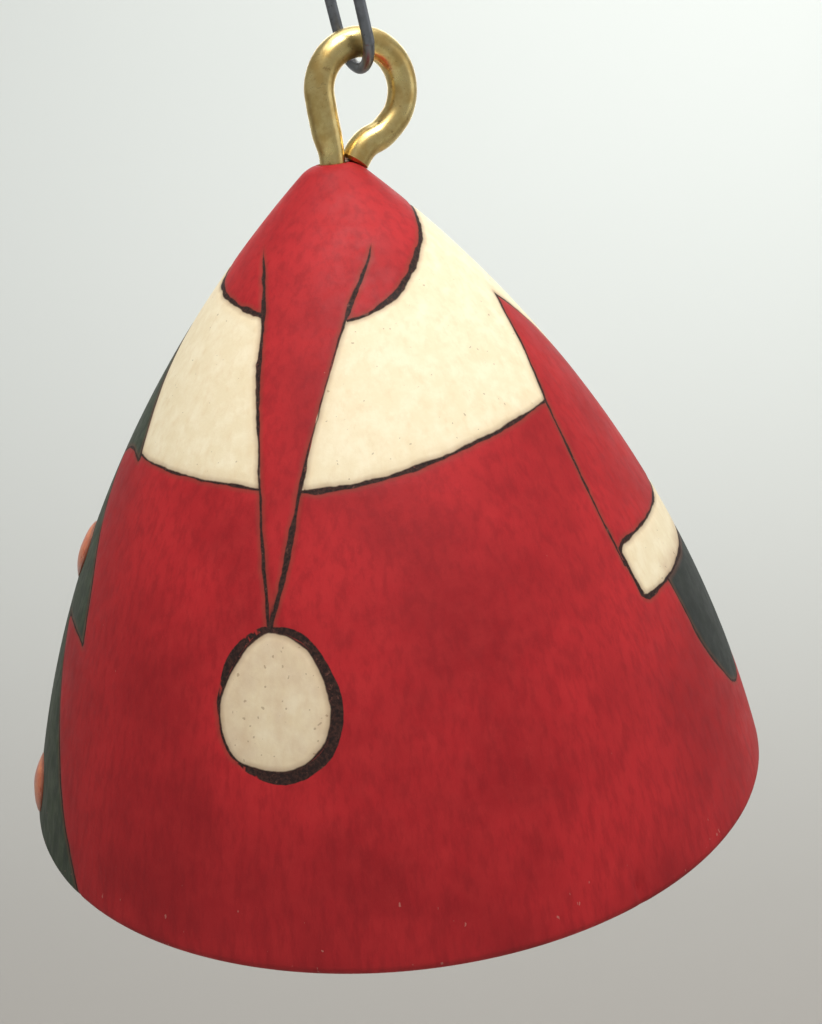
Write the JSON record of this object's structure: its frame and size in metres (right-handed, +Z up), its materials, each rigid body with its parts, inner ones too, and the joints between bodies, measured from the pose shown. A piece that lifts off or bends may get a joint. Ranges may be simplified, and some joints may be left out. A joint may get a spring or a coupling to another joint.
{
  "type": "christmas bell ornament",
  "caption": "Turned wooden bell painted as a robed winter figure, hung by a brass screw eye on a wire hook, with a wooden ball clapper on a wire link inside.",
  "frame": {"origin": "top inside of the hook's crook, where the ornament hangs on a branch", "axes": "+Z up; the painted figure faces -Y and its left side is +X; the bell hangs 5 degrees out of plumb in the plane of its ring, which points 223 degrees round from +X"},
  "size_m": [0.0596, 0.0596, 0.1002],
  "materials": {
    "steel_wire": "dull grey drawn wire",
    "brass": "satin, slightly tarnished",
    "painted_wood": "satin hand-painted wood, red with cream and dark green areas",
    "bead_paint": "satin orange paint",
    "bare_wood": "bare turned wood"
  },
  "bodies": {
    "hook": {"hanger_hook": "steel_wire"},
    "bell": {"screw_eye": "brass", "bell_body": "painted_wood", "inner_eye": "brass", "tree_bead_1": "bead_paint", "tree_bead_2": "bead_paint", "tree_bead_3": "bead_paint", "tree_bead_4": "bead_paint", "tree_bead_5": "bead_paint", "tree_bead_6": "bead_paint"},
    "link": {"clapper_link": "steel_wire"},
    "clapper": {"clapper_eye": "brass", "clapper_ball": "bare_wood"}
  },
  "joints": [
    {"name": "bell_swing", "type": "hinge", "parent": "hook", "child": "bell", "pos_m": [0, 0, -0.042], "axis": [0.682, -0.7314, 0], "range_deg": [-90, 90]},
    {"name": "link_swing", "type": "hinge", "parent": "bell", "child": "link", "pos_m": [0.00029, 0.00027, -0.07175], "axis": [0.682, -0.7314, 0], "range_deg": [-58, 48]},
    {"name": "clapper_swing", "type": "hinge", "parent": "link", "child": "clapper", "pos_m": [0.00029, 0.00027, -0.08095], "axis": [-0.7314, -0.682, 0], "range_deg": [-75, 75]}
  ]
}
